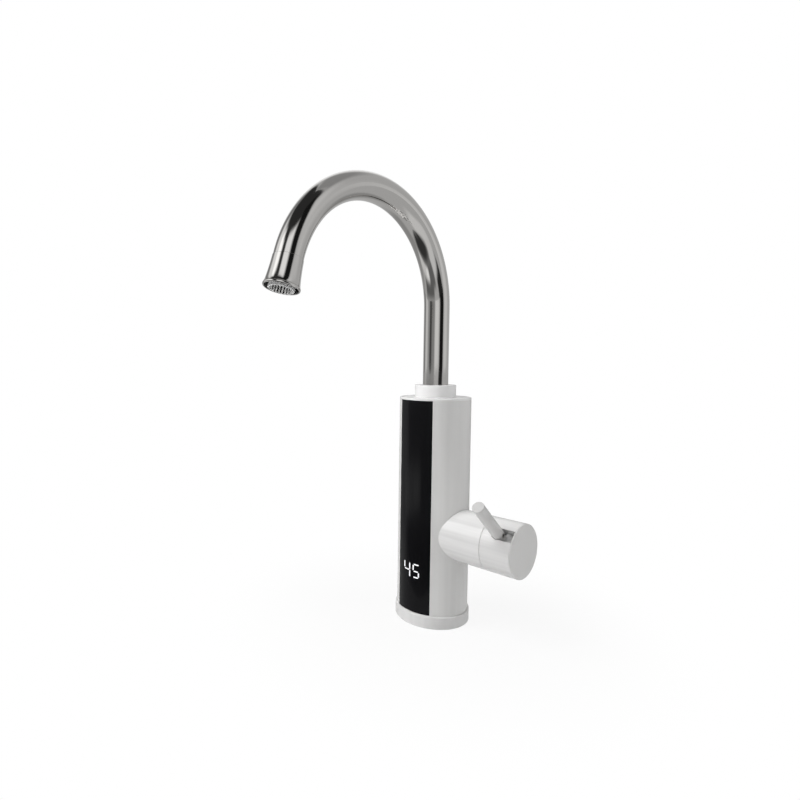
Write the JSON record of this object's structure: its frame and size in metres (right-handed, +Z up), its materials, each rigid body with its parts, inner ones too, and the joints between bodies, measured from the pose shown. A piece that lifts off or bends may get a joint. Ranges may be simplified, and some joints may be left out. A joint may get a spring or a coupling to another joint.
{
  "type": "instant heating kitchen tap",
  "caption": "Deck mounted kitchen tap that warms its own water: a tubular body with a dark display panel, a swivelling arched spout and a side knob with a tilting lever.",
  "frame": {"origin": "centre of the base's underside, in the mouth of the inlet's thread, under the riser of the spout", "axes": "+Z up along the riser, -Y towards the user, over the sink, where the spout points and the display faces, +X out along the valve knob"},
  "size_m": [0.1071, 0.2052, 0.3446],
  "materials": {
    "white_plastic": "smooth satin moulding",
    "panel_plastic": "dark polished lens",
    "display_plastic": "fine matt moulding",
    "board": "lacquered laminate",
    "dark_plastic": "fine matt moulding",
    "terminal_plastic": "fine matt moulding",
    "soft_rubber": "matt moulded rubber",
    "lead_insulation": "smooth flexible sleeve",
    "bright_steel": "polished with a faint drawn grain",
    "plain_steel": "turned or drawn, uncoated",
    "cast_brass": "machined casting",
    "ceramic": "lapped face",
    "aerator_plastic": "smooth moulding",
    "magnet": "moulded ferrite",
    "reed_glass": "clear drawn glass"
  },
  "bodies": {
    "body": {"base_ring": "white_plastic", "body_shell": "white_plastic", "top_cap": "white_plastic", "spout_collar": "white_plastic", "valve_sleeve": "white_plastic", "display_panel": "panel_plastic", "display_module": "display_plastic", "display_board": "board", "control_board": "board", "board_relay": "dark_plastic", "triac": "dark_plastic", "switch_body": "dark_plastic", "switch_cap": "dark_plastic", "cartridge_body": "dark_plastic", "thermal_cutout": "dark_plastic", "board_capacitor": "dark_plastic", "terminal_block": "terminal_plastic", "base_gasket": "soft_rubber", "cable_gland": "soft_rubber", "inlet_washer": "soft_rubber", "cartridge_seals": "soft_rubber", "heater_leads": "lead_insulation", "display_lead": "lead_insulation", "base_screws": "plain_steel", "board_screws": "plain_steel", "heater_chamber": "plain_steel", "chamber_cap": "plain_steel", "heating_coil": "plain_steel", "feed_pipe": "plain_steel", "bypass_pipe": "plain_steel", "inlet_pipe": "plain_steel", "temperature_probe": "plain_steel", "piston_spring": "plain_steel", "inlet_screen": "plain_steel", "valve_block": "cast_brass", "outlet_block": "cast_brass", "inlet_fitting": "cast_brass", "cartridge_nut": "cast_brass", "fixed_ceramic_disc": "ceramic", "reed_switch": "reed_glass"},
    "spout": {"spout_tube": "bright_steel", "spout_fitting": "cast_brass", "spout_rings": "soft_rubber", "nozzle": "bright_steel", "aerator_insert": "aerator_plastic", "aerator_screen": "aerator_plastic", "aerator_seal": "soft_rubber"},
    "knob": {"knob_shell": "white_plastic", "knob_core": "white_plastic", "knob_end_disc": "white_plastic", "spindle": "dark_plastic", "lever_pin": "plain_steel"},
    "lever": {"lever_hub": "plain_steel", "lever_rod": "white_plastic", "lever_screw": "plain_steel"},
    "valve_slide": {"disc_slide": "dark_plastic", "moving_ceramic_disc": "ceramic"},
    "flow_piston": {"flow_piston": "magnet"}
  },
  "joints": [
    {"name": "spout_swivel", "type": "hinge", "parent": "body", "child": "spout", "pos_m": [0, 0, 0], "axis": [0, 0, 1], "continuous": true},
    {"name": "knob_turn", "type": "hinge", "parent": "body", "child": "knob", "pos_m": [0, 0, 0.0735], "axis": [1, 0, 0], "range_deg": [-45, 45]},
    {"name": "lever_tilt", "type": "hinge", "parent": "knob", "child": "lever", "pos_m": [0.0656, -0.00369, 0.07688], "axis": [0, 0.6756, 0.7373], "range_deg": [0, 20]},
    {"name": "disc_slide", "type": "slide", "parent": "knob", "child": "valve_slide", "axis": [0, -0.7373, 0.6756], "range_m": [0, 0.0032]},
    {"name": "flow_piston_lift", "type": "slide", "parent": "body", "child": "flow_piston", "axis": [0, 0, 1], "range_m": [0, 0.0035], "stiffness_N_per_m": 20, "springref_m": -0.002, "deforming": ["piston_spring"]}
  ],
  "couplings": [
    {"joint": "disc_slide", "follows": "lever_tilt", "m_per_rad": 0.009}
  ]
}
